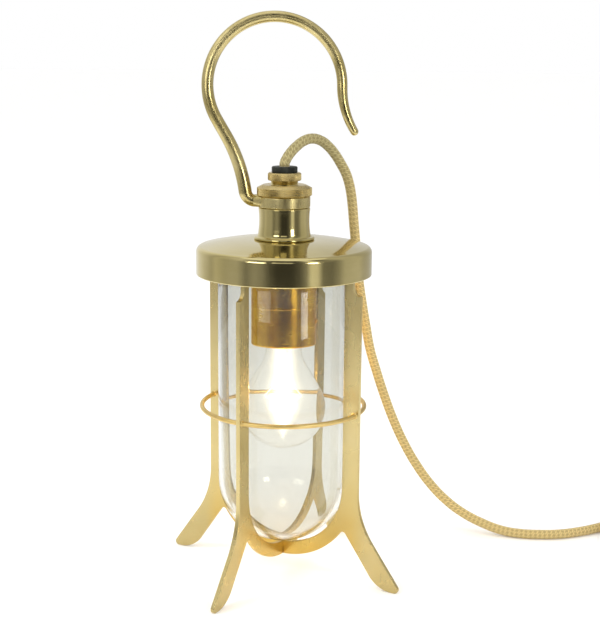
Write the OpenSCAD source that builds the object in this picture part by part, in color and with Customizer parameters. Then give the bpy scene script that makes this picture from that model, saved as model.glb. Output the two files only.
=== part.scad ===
// Brass ship lantern: a clear well glass in a four-legged cage of flat plates under a domed lid,
// with a lampholder and bulb inside, and a swivelling hook and cord grip on top.
// The origin is on the floor on the lantern's axis, +Z is up, and the legs lie on the X and Y axes.

/* [Cage] */
// Height of the lid's lower edge above the floor
cage_h = 219.5; // [180:0.5:270]
// Diameter across the legs and the lid
cage_d = 123; // [102:1:150]
// Width of a straight leg
leg_w = 12.5; // [10:0.5:15]
// Thickness of the cage plates
plate_t = 3; // [2:0.5:4]
// Height at which the feet begin to flare
flare_h = 68; // [56:1:82]
// Radius of the flare's outer curve
flare_r = 60; // [50:1:72]
// Angle that a foot leans out from the vertical
foot_lean = 36; // [30:1:42]
// Width of a foot
foot_w = 14.5; // [12:0.5:16]
// Clear height under the middle of the cradle
cradle_h = 12; // [8:0.5:15]
// Depth of the cradle bars
cradle_w = 10; // [8:0.5:12]
// Height of the guard ring
ring_h = 124.5; // [100:0.5:150]
// Distance of the guard ring's centre line inside the legs' outer edge
ring_inset = 3.5; // [2.5:0.25:9]
// Diameter of the guard ring's wire
wire_d = 3.2; // [2.5:0.1:4]

/* [Lid] */
// Height of the lid's straight side
lid_side = 16; // [13:0.5:20]
// Radius of the lid's rounded top edge
lid_edge = 4; // [2:0.5:5]
// Rise of the lid's dome from edge to neck
lid_rise = 4.5; // [3:0.5:7]
// Thickness of the lid's skirt
lid_wall = 2.5; // [2:0.1:3.2]
// Thickness of the lid's ceiling at its edge
lid_ceiling = 4; // [3:0.5:5]

/* [Neck] */
// Radius of the neck's foot
neck_foot_r = 22; // [20:0.5:25]
// Radius of the neck and of the hook's collar
neck_r = 18; // [15.5:0.5:20]
// Height of the neck above the lid
neck_h = 22.3; // [18:0.1:27]
// Radius of the threaded tube below the neck
spigot_r = 8; // [7:0.5:9.5]

/* [Glass] */
// Wall of the well glass
glass_wall = 3; // [2:0.5:3.5]
// Gap between the glass and the cage
glass_gap = 2.5; // [1.5:0.5:3.5]

/* [Lampholder and bulb] */
// Radius of the lampholder's brass cover
holder_r = 22.7; // [20:0.1:25]
// Distance from the lid's lower edge down to the lampholder's lower edge
holder_drop = 47.5; // [40:0.5:56]
// Length of the lampholder's lower cover
shell_h = 28; // [24:0.5:33]
// Radius of the bulb's round part
bulb_r = 30; // [25:0.5:30]
// Length of the bulb from its contact to its tip
bulb_len = 108; // [96:1:112]
// Radius of the bulb's screw cap
cap_r = 13.1; // [11:0.1:13.5]

/* [Hook and grip] */
// Radius of the hook's loop to the middle of the rod
loop_r = 46; // [38:0.5:54]
// Diameter of the rod round the loop
rod_d = 7.4; // [6.2:0.1:8.8]
// Diameter of the stem at the collar
stem_d = 9; // [7.5:0.1:10.8]
// Height of the hook's collar
collar_h = 7.8; // [7:0.1:9.4]
// Radius of the grip's plain boss, on which the hook turns
boss_r = 9.5; // [9:0.1:10.5]
// Radius of the large knurled nut
hook_nut_r = 19.2; // [17:0.1:22]
// Height of the large knurled nut
hook_nut_h = 7.7; // [6.5:0.1:9.2]
// Radius of the small knurled nut
gland_nut_r = 11.7; // [11:0.1:14]
// Height of the small knurled nut
gland_nut_h = 5.4; // [4.5:0.1:6.5]

/* [Cord and plug] */
// Diameter of the braided cord
cord_d = 7.2; // [6:0.1:8]
// Radius of the coil's outer turn to the middle of the cord
coil_r = 39.6; // [36:0.1:44]

/* [Fits] */
// Radial clearance of pieces that turn on each other
turn_gap = 0.05; // [0.02:0.01:0.1]
// End clearance of pieces that turn on each other
end_gap = 0.1; // [0.05:0.01:0.2]
// Clearance of pieces that are assembled and stay put
sit_gap = 0.1; // [0.05:0.05:0.3]

/* [Hidden] */
$fn = 64;

// The hook's plane and the cord are turned this much about the axis from the X axis.
side_turn = 30;

// Cage
leg_out = cage_d / 2;
leg_in = leg_out - leg_w;
ring_r = leg_out - ring_inset;
arc_h = cradle_h + cradle_w + leg_in;
lap_h = cradle_h + cradle_w / 2;
notch_r = 6;
notch_h = cage_h - 10.5;
leg_top = cage_h + 11.5;
toe_h = 3.6;
sole_l = 8.5;
lean_out = [sin(foot_lean), -cos(foot_lean)];
lean_up = [cos(foot_lean), sin(foot_lean)];
flare_c = [leg_out + flare_r, flare_h];
flare_end = flare_c - flare_r * lean_up;
toe = flare_end + lean_out * (flare_end[1] - toe_h) / cos(foot_lean);
heel = flare_end - lean_up * foot_w;
// A point of the foot's inner edge at height z
function inner_edge(z) = heel + lean_out * (heel[1] - z) / cos(foot_lean);
overlap = 6;
// The foot's inner edge runs into the cradle at foot_root, and the crotch between them is rounded
// by a circle that touches both edges.
crotch_r = 2.5;
cradle_out = leg_in + cradle_w;
foot_root = inner_edge(arc_h - cradle_out + 32);
arc_c = [0, arc_h];
crotch_across = (heel - arc_c) * lean_up - crotch_r;
crotch_along = sqrt(pow(cradle_out + crotch_r, 2) - pow(crotch_across, 2));
crotch_c = arc_c + lean_up * crotch_across + lean_out * crotch_along;
crotch_from_arc = (crotch_c - arc_c) / norm(crotch_c - arc_c);

// Lid
lid_in = leg_out - lid_wall;
ceiling_h = cage_h + lid_side;
lid_top = cage_h + lid_side + lid_edge + lid_rise;
land_r = neck_foot_r + 2;
recess_r = leg_in - 9.5;
recess_h = lid_top - 4;
screw_ring_r = leg_out - 7;

// Glass
glass_r = leg_in - glass_gap;
rim_w = 4.3;
rim_h = 2;
ledge_h = 1;
gasket_h = 1.5;
rim_low = ceiling_h - gasket_h - rim_h;

// Neck, lampholder and bulb
neck_top = lid_top + neck_h;
flex_bore_r = 4.2;
neck_bore_r = 7;
spigot_low = lid_top - 20;
washer_h = 1.5;
nut_h = 5;
holder_low = cage_h - holder_drop;
seam_h = holder_low + shell_h;
holder_high = seam_h + 30;
cover_wall = 1;
cap_len = 25;
tip_h = holder_low + 30;
cap_low = tip_h - 2 - cap_len;
cap_wall = 0.5;
globe_h = tip_h - bulb_len + bulb_r;
bulb_wall = 0.8;
bulb_neck_r = cap_r - cap_wall - sit_gap;
bulb_neck_low = cap_low - 2;
bulb_neck_high = cap_low + 6;
stem_low = globe_h + 26;
filament_h = globe_h + 9;
filament_half = 13;
thread_wall = 0.6;
thread_high = tip_h - 3;
core_r = holder_r - cover_wall - sit_gap;
core_low = holder_low + 6;
core_roof = tip_h + 0.9;
core_high = core_roof + 9;
screw_h = holder_low + 18;
screw_turns = [-82, 20, 140];

// Hook and grip
collar_low = neck_top + end_gap;
collar_top = collar_low + collar_h;
hook_nut_low = collar_top + end_gap;
hook_nut_top = hook_nut_low + hook_nut_h;
boss_top = hook_nut_top + 2.8;
gland_nut_low = boss_top + end_gap;
gland_nut_top = gland_nut_low + gland_nut_h;
grip_thread_r = 7.6;
grip_stem_r = 6;
insert_r = 9.1;
insert_top = gland_nut_top + 4.2;
lug_h = collar_low + collar_h / 2;
loop_c = [-7, lug_h + 79.1];

// Cord: the route's points from the grip to the coil, then from the coil to the plug, in the frame
// that is turned by side_turn. The coil's middle, its base and its turns follow.
lead_points = [
    [0, 0, 294.5], [0, 0, 296.4], [1.4, 1.2, 299.8], [4.2, 3.7, 303.8], [8, 7.2, 307.6], [12.8, 11.6, 311],
    [19, 16.6, 312.6], [25.4, 21.3, 310.9], [31, 25, 306.6], [36, 28.4, 300.6], [40.3, 31.3, 293.8],
    [43.8, 33.7, 287.4], [46.2, 35.6, 280.8], [48, 37.4, 273], [49.4, 39.4, 263.5], [50.8, 42, 250],
    [52.4, 44.8, 235.6], [54, 47.2, 220], [56.1, 50, 203], [58.8, 53, 187], [62, 56.5, 170],
    [65.6, 60.5, 152], [71, 64.5, 134], [78, 68.5, 113], [86, 72, 92], [95, 75, 72.5], [105, 76.3, 55],
    [116.5, 76.5, 39], [129, 75.6, 26], [143, 73.5, 15.8], [158, 70, 8.8], [172, 65.5, 4.8],
    [186, 61.5, 3.6], [201, 59.5, 3.6], [217, 60.5, 3.6], [233, 65.5, 3.6], [249, 73.5, 3.6],
    [265, 83.5, 3.6], [280, 91.5, 3.8], [293, 96.3, 4.2], [305, 97.6, 4.4]];
tail_points = [
    [333, 41.8, 18.8], [327, 31.4, 18.8], [321, 21, 18], [315.5, 11.5, 15.5], [310, 2, 12.6],
    [305.5, -5.8, 11], [301, -13.6, 10.5]];
coil_c = [305, 58];
tie_t = 0.8;
tie_w = 8;
coil_layers = 3;
coil_h = coil_layers * cord_d;

// Plug
plug_w = 50;
plug_l = 46;
plug_split = 12;
plug_h = 20;
plug_turn = -120;
relief_l = 25;
plug_at = [301, -13.6, 10.5];
pin_gap = 22.2;
pin_back = 12;

// ---- shared shapes ----

// Closed ring of revolution about the axis
module tube(r_out, r_in, low, high)
    translate([0, 0, low])
        difference() {
            cylinder(r = r_out, h = high - low);
            translate([0, 0, -1]) cylinder(r = r_in, h = high - low + 2);
        }

// Sweep of a round rod or cord through a list of points, with a diameter for each
function unit(v) = v / norm(v);
function heading(p, i) = unit(p[min(i + 1, len(p) - 1)] - p[max(i - 1, 0)]);
function square_to(v, t) = unit(v - (v * t) * t);
function carried(p, side) = [for (i = 0, s = side; i < len(p);
    i = i + 1, s = i < len(p) ? square_to(s, heading(p, i)) : s) square_to(s, heading(p, i))];
module sweep(p, ds, side, n) {
    sides = carried(p, side);
    rings = [for (i = [0:len(p) - 1], k = [0:n - 1])
        let (t = heading(p, i), a = sides[i], b = cross(t, a))
        p[i] + ds[i] / 2 * (a * cos(360 * k / n) + b * sin(360 * k / n))];
    walls = [for (i = [0:len(p) - 2], k = [0:n - 1])
        let (j = (k + 1) % n)
        [i * n + k, (i + 1) * n + k, (i + 1) * n + j, i * n + j]];
    ends = [[for (k = [0:n - 1]) k], [for (k = [n - 1:-1:0]) (len(p) - 1) * n + k]];
    polyhedron(rings, concat(walls, ends), convexity = 8);
}

// ---- cage ----

// Straight leg with its notch under the lid; it runs down into the foot
module leg_outline()
    difference() {
        union() {
            translate([leg_in, flare_h]) square([leg_w, leg_top - flare_h]);
            translate([leg_in + 2, flare_h - overlap]) square([leg_w - 2, 2 * overlap]);
        }
        translate([leg_out, notch_h + notch_r]) circle(r = notch_r);
        translate([leg_out - notch_r, notch_h + notch_r]) square([leg_w, leg_top - notch_h]);
    }

module foot_outline()
    difference() {
        polygon([[leg_in + 2, flare_h], [leg_out, flare_h], flare_end, toe, [toe[0] - toe_h, 0],
            [toe[0] - toe_h - sole_l, 0], inner_edge(toe_h), foot_root, [leg_in + 2, arc_h - 10]]);
        translate(flare_c) circle(r = flare_r, $fn = 128);
    }

// Rounding in the crotch between foot and cradle
module crotch_outline()
    difference() {
        polygon([foot_root + lean_up, crotch_c + lean_up * (crotch_r + 1), crotch_c,
            arc_c + crotch_from_arc * (cradle_out - 1)]);
        translate(crotch_c) circle(r = crotch_r);
    }

module cradle_outline()
    intersection() {
        translate(arc_c)
            difference() {
                circle(r = cradle_out, $fn = 128);
                circle(r = leg_in, $fn = 128);
            }
        translate([-leg_out, 0]) square([cage_d, arc_h]);
    }

module plate() translate([0, plate_t / 2, 0]) rotate([90, 0, 0]) linear_extrude(plate_t) children();

// One U-shaped frame in the XZ plane with its half-lap slot and ring holes
module cage_frame(slot_low, slot_high)
    difference() {
        union() {
            for (side = [0, 1])
                mirror([side, 0, 0]) {
                    plate() leg_outline();
                    plate() foot_outline();
                    plate() crotch_outline();
                }
            plate() cradle_outline();
        }
        translate([-plate_t / 2, -plate_t, slot_low]) cube([plate_t, 2 * plate_t, slot_high - slot_low]);
        for (side = [0, 180])
            rotate([0, 0, side]) translate([ring_r, 0, ring_h])
                rotate([90, 0, 0]) cylinder(r = wire_d / 2 + sit_gap, h = 2 * plate_t, center = true);
    }

module cage_frame_y() color("gold") rotate([0, 0, 90]) cage_frame(lap_h, lap_h + cradle_w);
module cage_frame_x() color("gold") cage_frame(lap_h - cradle_w, lap_h);

module guard_ring()
    color("goldenrod") translate([0, 0, ring_h])
        rotate_extrude($fn = 128) translate([ring_r, 0]) circle(r = wire_d / 2, $fn = 24);

module ring_collars()
    color("goldenrod")
        for (turn = [0:90:270], side = [-1, 1])
            rotate([0, 0, turn]) translate([ring_r, side * (plate_t / 2 + 0.6), ring_h])
                rotate([90, 0, 0])
                    difference() {
                        cylinder(r = wire_d / 2 + 1.1, h = 1.2, center = true);
                        cylinder(r = wire_d / 2 + sit_gap, h = 3, center = true);
                    }

module top_ring()
    color("darkgoldenrod")
        difference() {
            tube(lid_in - sit_gap, glass_r + 0.5, leg_top, ceiling_h);
            translate([0, 0, leg_top + ledge_h])
                cylinder(r = glass_r + rim_w + 0.3, h = ceiling_h - leg_top);
            for (turn = [45:90:315])
                rotate([0, 0, turn]) translate([screw_ring_r, 0, leg_top - 1]) {
                    cylinder(r = 1.5 + sit_gap, h = 20);
                    cylinder(r = 2.8 + sit_gap, h = 3);
                }
        }

module lid_screws()
    color("silver")
        for (turn = [45:90:315])
            rotate([0, 0, turn]) translate([screw_ring_r, 0, 0])
                difference() {
                    union() {
                        translate([0, 0, leg_top + 0.2]) cylinder(r = 1.5, h = 7);
                        translate([0, 0, leg_top + 0.2]) cylinder(r = 2.8, h = 1.7);
                    }
                    translate([-3, -0.4, leg_top]) cube([6, 0.8, 1]);
                }

// ---- lid and neck ----

module lid()
    color("gold")
        difference() {
            union() {
                translate([0, 0, cage_h]) cylinder(r = leg_out, h = lid_side, $fn = 128);
                translate([0, 0, ceiling_h])
                    rotate_extrude($fn = 128) translate([leg_out - lid_edge, 0]) circle(r = lid_edge);
                translate([0, 0, ceiling_h]) cylinder(r = leg_out - lid_edge, h = lid_edge, $fn = 128);
                translate([0, 0, ceiling_h + lid_edge])
                    cylinder(r1 = leg_out - lid_edge, r2 = land_r, h = lid_rise, $fn = 128);
            }
            translate([0, 0, cage_h - 1]) cylinder(r = lid_in, h = lid_side + 1, $fn = 128);
            translate([0, 0, ceiling_h - 1])
                cylinder(r = recess_r, h = recess_h - ceiling_h + 1);
            translate([0, 0, lid_top - 8]) cylinder(r = spigot_r + sit_gap, h = 10);
            for (turn = [45:90:315])
                rotate([0, 0, turn]) translate([screw_ring_r, 0, ceiling_h - 1])
                    cylinder(r = 1.5 + sit_gap, h = 4);
        }

module neck()
    color("gold") translate([0, 0, lid_top])
        difference() {
            rotate_extrude()
                difference() {
                    union() {
                        square([neck_r, neck_h]);
                        square([neck_foot_r, 1.5 + neck_foot_r - neck_r]);
                        translate([0, spigot_low - lid_top]) square([spigot_r, lid_top - spigot_low + 1]);
                    }
                    // hollow curve of the foot
                    translate([neck_foot_r + 0.2, 1.5 + neck_foot_r - neck_r])
                        circle(r = neck_foot_r - neck_r + 0.2);
                    // long shallow waist
                    translate([neck_r + 59.6, neck_h * 0.55]) circle(r = 60, $fn = 256);
                }
            translate([0, 0, spigot_low - lid_top - 1]) cylinder(r = flex_bore_r, h = 60);
            translate([0, 0, neck_h - 12]) cylinder(r = neck_bore_r, h = 20);
        }

module neck_washer()
    color("silver") tube(spigot_r + 7, spigot_r + sit_gap, recess_h - washer_h, recess_h);

module neck_nut()
    color("darkgoldenrod") translate([0, 0, recess_h - washer_h - nut_h])
        difference() {
            cylinder(r = spigot_r + 5, h = nut_h, $fn = 6);
            translate([0, 0, -1]) cylinder(r = spigot_r + sit_gap, h = nut_h + 2);
        }

// ---- glass ----

module glass_gasket()
    color("dimgray") tube(glass_r + rim_w, glass_r - glass_wall, ceiling_h - gasket_h, ceiling_h);

module glass_well()
    color("lightcyan", 0.35)
        difference() {
            union() {
                translate([0, 0, arc_h]) sphere(r = glass_r, $fn = 96);
                translate([0, 0, arc_h]) cylinder(r = glass_r, h = rim_low + rim_h - arc_h, $fn = 96);
                translate([0, 0, rim_low]) cylinder(r = glass_r + rim_w, h = rim_h, $fn = 96);
            }
            translate([0, 0, arc_h]) sphere(r = glass_r - glass_wall, $fn = 96);
            translate([0, 0, arc_h]) cylinder(r = glass_r - glass_wall, h = cage_h, $fn = 96);
        }

// ---- lampholder ----

module holder_cap()
    color("peru")
        difference() {
            translate([0, 0, seam_h]) cylinder(r = holder_r, h = holder_high - seam_h);
            translate([0, 0, seam_h - 1])
                cylinder(r = holder_r - cover_wall, h = holder_high - seam_h - 1);
            translate([0, 0, holder_high - 3]) cylinder(r = spigot_r + sit_gap, h = 5);
        }

module holder_shell()
    color("peru")
        difference() {
            translate([0, 0, holder_low]) cylinder(r = holder_r, h = shell_h);
            translate([0, 0, holder_low + 1.2]) cylinder(r = holder_r - cover_wall, h = shell_h);
            translate([0, 0, holder_low - 1]) cylinder(r = cap_r + 5.5, h = 4);
            for (turn = screw_turns)
                rotate([0, 0, turn]) translate([0, 0, screw_h]) rotate([0, 90, 0])
                    cylinder(r = 1.4 + sit_gap, h = 40);
        }

module holder_screws()
    color("darkgoldenrod")
        for (turn = screw_turns)
            rotate([0, 0, turn]) translate([0, 0, screw_h]) rotate([0, 90, 0])
                difference() {
                    union() {
                        translate([0, 0, core_r - 4]) cylinder(r = 1.4, h = holder_r - core_r + 4);
                        translate([0, 0, holder_r]) cylinder(r = 1.75, h = 0.7);
                    }
                    translate([-0.3, -3, holder_r + 0.3]) cube([0.6, 6, 2]);
                }

module holder_core()
    color("ivory")
        difference() {
            translate([0, 0, core_low]) cylinder(r = core_r, h = core_high - core_low);
            translate([0, 0, core_low - 1])
                cylinder(r = cap_r + turn_gap + thread_wall + sit_gap, h = core_roof - core_low + 1);
            for (turn = screw_turns)
                rotate([0, 0, turn]) translate([core_r - 5, 0, screw_h]) rotate([0, 90, 0])
                    cylinder(r = 1.4 + sit_gap, h = 8);
            for (side = [-1, 1])
                translate([side * 11, 0, core_high - 6]) cylinder(r = 2 + sit_gap, h = 8);
        }

module holder_thread()
    color("goldenrod")
        tube(cap_r + turn_gap + thread_wall, cap_r + turn_gap, core_low + 0.5, thread_high);

module centre_contact()
    color("goldenrod") translate([-7, -2.5, core_roof - 0.6]) cube([14, 5, 0.6]);

module terminal_screws()
    color("silver")
        for (side = [-1, 1])
            translate([side * 11, 0, 0])
                difference() {
                    union() {
                        translate([0, 0, core_high - 6]) cylinder(r = 2, h = 6);
                        translate([0, 0, core_high]) cylinder(r = 3, h = 1.8);
                    }
                    translate([-4, -0.4, core_high + 1]) cube([8, 0.8, 2]);
                }

module inner_flex()
    color("linen") translate([0, 0, core_high + 0.5]) cylinder(r = cord_d / 2, h = insert_top - core_high - 0.5);

// ---- bulb ----

// Half outline of the bulb's glass drawn in by d: a ball with a cone that touches it, and a neck
module bulb_outline(d) {
    ball = bulb_r - d;
    neck = [bulb_neck_r - d, bulb_neck_low - globe_h];
    lean = atan2(neck[1], neck[0]) - acos(ball / norm(neck));
    intersection() {
        translate([0, globe_h])
            union() {
                circle(r = ball, $fn = 96);
                polygon([[0, 0], [ball * cos(lean), ball * sin(lean)], neck,
                    [neck[0], bulb_neck_high - globe_h + (d > 0 ? 1 : 0)],
                    [0, bulb_neck_high - globe_h + (d > 0 ? 1 : 0)]]);
            }
        square([bulb_r, cage_h * 2]);
    }
}

module bulb_glass()
    color("white", 0.3)
        rotate_extrude($fn = 96)
            difference() {
                bulb_outline(0);
                bulb_outline(bulb_wall);
            }

module bulb_cap()
    color("silver")
        difference() {
            translate([0, 0, cap_low]) cylinder(r = cap_r, h = cap_len);
            translate([0, 0, cap_low - 1]) cylinder(r = cap_r - cap_wall, h = cap_len);
            translate([0, 0, cap_low]) cylinder(r = 8, h = cap_len + 1);
        }

module bulb_insulator()
    color("black")
        difference() {
            union() {
                translate([0, 0, tip_h - 3]) cylinder(r = 8 - sit_gap / 2, h = 1);
                translate([0, 0, tip_h - 2]) cylinder(r1 = 9, r2 = 6.5, h = 1.2);
            }
            translate([0, 0, tip_h - 4]) cylinder(r = 2, h = 5);
        }

module bulb_contact()
    color("silver")
        union() {
            translate([0, 0, tip_h - 0.8]) cylinder(r = 5, h = 0.8);
            translate([0, 0, tip_h - 3]) cylinder(r = 2, h = 3);
        }

module bulb_stem()
    color("white", 0.3) {
        translate([0, 0, bulb_neck_high - 1.5]) cylinder(r = bulb_neck_r - bulb_wall, h = 1.5);
        translate([0, 0, stem_low]) cylinder(r = 3.5, h = bulb_neck_high - 1.5 - stem_low);
    }

// A bent tungsten wire between two lead wires that come out of the stem
module bulb_filament()
    color("gold") {
        for (side = [-1, 1])
            rotate([0, 0, side_turn]) translate([0, 0, stem_low]) rotate([0, side * 143, 0])
                cylinder(r = 0.35, h = filament_half / sin(37));
        rotate([0, 0, side_turn])
            for (side = [-1, 1])
                translate([side * filament_half, 0, stem_low - filament_half / tan(37)])
                    rotate([0, -side * 75, 0]) cylinder(r = 0.7, h = filament_half / sin(75));
    }

// ---- hook and grip ----

// Points along an arc in the XZ plane
function arc_points(centre, r, from, to, n) =
    [for (i = [0:n]) let (a = from + (to - from) * i / n) [centre[0] + r * cos(a), 0, centre[1] + r * sin(a)]];

// The rod leaves the collar, turns up in an elbow, leans out in a long stem, runs straight into the
// loop and ends in a short out-turned tip. Its diameter changes evenly between the four places.
loop_turn = 210;
tip_turn = 32;
tip_r = 58;
stem_lean = loop_turn - 180;
base_lean = 8;
stem_arc_r = 107;
straight_l = 12.6;
loop_end = loop_c + loop_r * [cos(loop_turn), sin(loop_turn)];
straight_end = loop_end + straight_l * [sin(stem_lean), -cos(stem_lean)];
stem_arc_c = straight_end - stem_arc_r * [cos(stem_lean), sin(stem_lean)];
stem_end = stem_arc_c + stem_arc_r * [cos(base_lean), sin(base_lean)];
elbow_r = (stem_end[1] - lug_h) / (1 - sin(base_lean));
elbow_c = [stem_end[0] + elbow_r * cos(base_lean), lug_h + elbow_r];
tip_c = loop_c + [loop_r + tip_r, 0];
root_points = concat([[-boss_r - 2, 0, lug_h]], arc_points(elbow_c, elbow_r, 270, 180 + base_lean, 6));
stem_points = arc_points(stem_arc_c, stem_arc_r, base_lean + 3, stem_lean, 5);
loop_points = arc_points(loop_c, loop_r, loop_turn, 0, 26);
tip_points = arc_points(tip_c, tip_r, 180 + tip_turn / 5, 180 + tip_turn, 4);
rod_points = concat(root_points, stem_points, loop_points, tip_points);
root_d = collar_h - 0.2;
tip_d = rod_d - 1.4;
function between(a, b, n) = [for (i = [1:n]) a + (b - a) * i / n];
rod_ds = concat([root_d], between(root_d, stem_d, len(root_points) - 1),
    between(stem_d, rod_d + 0.4, len(stem_points)), between(rod_d + 0.4, rod_d - 0.4, len(loop_points)),
    between(rod_d - 0.4, tip_d, len(tip_points)));

module hook()
    color("goldenrod") rotate([0, 0, side_turn])
        difference() {
            union() {
                sweep(rod_points, rod_ds, [0, 1, 0], 12);
                translate([0, 0, collar_low]) cylinder(r = neck_r, h = collar_h);
            }
            translate([0, 0, collar_low - 1]) cylinder(r = boss_r + turn_gap, h = collar_h + 2);
        }

module gland_body()
    color("gold")
        difference() {
            union() {
                translate([0, 0, neck_top - 10]) cylinder(r = neck_bore_r - sit_gap, h = 12);
                translate([0, 0, neck_top]) cylinder(r = boss_r, h = boss_top - neck_top);
                translate([0, 0, boss_top]) cylinder(r = grip_thread_r, h = 4.4);
            }
            translate([0, 0, neck_top - 12]) cylinder(r = flex_bore_r, h = 60);
            translate([0, 0, boss_top - 0.2]) cylinder(r = grip_stem_r + 0.1, h = 10);
        }

module hook_nut()
    color("gold") translate([0, 0, hook_nut_low])
        difference() {
            rotate_extrude()
                polygon([[0, 0], [hook_nut_r - 1, 0], [hook_nut_r, 1], [hook_nut_r, hook_nut_h - 2],
                    [hook_nut_r - 4.5, hook_nut_h], [0, hook_nut_h]]);
            translate([0, 0, -1]) cylinder(r = boss_r + turn_gap, h = hook_nut_h + 2);
        }

module gland_nut()
    color("goldenrod") translate([0, 0, gland_nut_low])
        difference() {
            rotate_extrude()
                polygon([[0, 0], [gland_nut_r - 0.6, 0], [gland_nut_r, 0.6],
                    [gland_nut_r, gland_nut_h - 1], [gland_nut_r - 1, gland_nut_h], [0, gland_nut_h]]);
            translate([0, 0, -1]) cylinder(r = grip_thread_r + turn_gap, h = 5.6);
            translate([0, 0, -1]) cylinder(r = grip_stem_r + turn_gap, h = gland_nut_h + 2);
        }

module gland_insert()
    color("black")
        difference() {
            union() {
                translate([0, 0, boss_top]) cylinder(r = grip_stem_r, h = insert_top - boss_top);
                translate([0, 0, gland_nut_top + end_gap])
                    cylinder(r = insert_r, h = insert_top - gland_nut_top - end_gap - 1);
                translate([0, 0, insert_top - 1]) cylinder(r1 = insert_r, r2 = insert_r - 1, h = 1);
            }
            translate([0, 0, boss_top - 1]) cylinder(r = cord_d / 2 + sit_gap, h = 20);
        }

// ---- cord ----

module cord(points, side) sweep(points, [for (q = points) cord_d], side, 10);

module cord_lead()
    color("wheat") rotate([0, 0, side_turn]) cord(lead_points, [1, 0, 0]);

module cord_coil()
    color("wheat") rotate([0, 0, side_turn]) translate([coil_c[0], coil_c[1], tie_t])
        rotate_extrude($fn = 96)
            translate([coil_r - 1.5 * cord_d, 0])
                square([2 * cord_d, coil_h]);

module cord_tail()
    color("wheat") rotate([0, 0, side_turn]) cord(tail_points, [0, 0, 1]);

// Strap round the coil's bundle
module cord_tie()
    color("black") rotate([0, 0, side_turn]) translate([coil_c[0], coil_c[1], 0]) rotate([0, 0, 45])
        translate([coil_r - cord_d / 2, tie_w / 2, 0]) rotate([90, 0, 0]) linear_extrude(tie_w)
            difference() {
                translate([-cord_d - tie_t, 0]) square([2 * cord_d + 2 * tie_t, coil_h + 2 * tie_t]);
                translate([-cord_d, tie_t]) square([2 * cord_d, coil_h]);
            }

// ---- plug, in its own frame: cord entry at the origin heading +Y, pins up ----

module plug_place()
    rotate([0, 0, side_turn]) translate([plug_at[0], plug_at[1], 0]) rotate([0, 0, plug_turn - 90])
        children();

module plug_outline(grow = 0)
    hull() {
        for (side = [-1, 1]) {
            translate([side * (plug_w / 2 - 8), relief_l + plug_l - 14]) circle(r = 8 + grow, $fn = 32);
            translate([side * (plug_w / 2 - 13), relief_l + 6]) circle(r = 6 + grow, $fn = 32);
        }
        translate([0, relief_l + plug_l - 10]) circle(r = 10 + grow, $fn = 32);
    }

module plug_cover()
    color("white") plug_place()
        difference() {
            linear_extrude(plug_split) plug_outline();
            translate([0, 0, 2]) linear_extrude(plug_split) plug_outline(-2);
            translate([0, relief_l - 2, plug_at[2]]) rotate([-90, 0, 0]) cylinder(r = 5, h = 6);
        }

module plug_base()
    color("white") plug_place()
        difference() {
            translate([0, 0, plug_split]) linear_extrude(plug_h - plug_split) plug_outline();
            translate([0, 0, plug_split - 1]) linear_extrude(3) plug_outline(-2);
            translate([0, relief_l - 2, plug_at[2]]) rotate([-90, 0, 0]) cylinder(r = 5, h = 6);
            for (side = [-1, 1])
                translate([side * pin_gap / 2, relief_l + pin_back, plug_split + 4])
                    cube([6.5, 4.2, 30], center = true);
            translate([0, relief_l + pin_back + pin_gap, plug_split + 4])
                cube([4.2, 8.2, 30], center = true);
            translate([0, relief_l + pin_back + 9, plug_split]) cylinder(r = 2.1, h = 20);
        }

module plug_pin(at, size, high)
    color("silver") plug_place()
        translate([at[0] - size[0] / 2, relief_l + at[1] - size[1] / 2, plug_split - 4])
            cube([size[0], size[1], plug_h - plug_split + 4 + high]);
module plug_earth_pin() plug_pin([0, pin_back + pin_gap], [4, 8], 22.7);
module plug_line_pin() plug_pin([pin_gap / 2, pin_back], [6.3, 4], 17.7);
module plug_neutral_pin() plug_pin([-pin_gap / 2, pin_back], [6.3, 4], 17.7);

module plug_fuse()
    color("silver") plug_place() translate([pin_gap / 2 + 5, relief_l + pin_back + 5, 5.2])
        rotate([-90, 0, 0]) cylinder(r = 3.15, h = 20);

module plug_screw()
    color("silver") plug_place() translate([0, relief_l + pin_back + 9, 0])
        difference() {
            union() {
                translate([0, 0, 2]) cylinder(r = 2, h = plug_h - 3);
            }
            translate([-3, -0.4, plug_h - 2]) cube([6, 0.8, 3]);
        }

module plug_relief()
    color("white") plug_place() translate([0, 0, plug_at[2]]) rotate([-90, 0, 0])
        union() {
            cylinder(r1 = cord_d / 2 + 0.8, r2 = 6.5, h = relief_l);
            cylinder(r = 4.9, h = relief_l + 4);
        }

cage_frame_y();
cage_frame_x();
guard_ring();
ring_collars();
top_ring();
lid_screws();
lid();
neck();
neck_washer();
neck_nut();
glass_gasket();
glass_well();
holder_cap();
holder_shell();
holder_screws();
holder_core();
holder_thread();
centre_contact();
terminal_screws();
inner_flex();
bulb_glass();
bulb_cap();
bulb_insulator();
bulb_contact();
bulb_stem();
bulb_filament();
hook();
gland_body();
hook_nut();
gland_nut();
gland_insert();
cord_lead();
cord_coil();
cord_tail();
cord_tie();
plug_cover();
plug_base();
plug_earth_pin();
plug_line_pin();
plug_neutral_pin();
plug_fuse();
plug_screw();
plug_relief();
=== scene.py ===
# Brass ship lantern with its hook, bulb and braided cord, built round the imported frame.
import math
import bpy
import bmesh
from mathutils import Matrix, Vector


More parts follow.
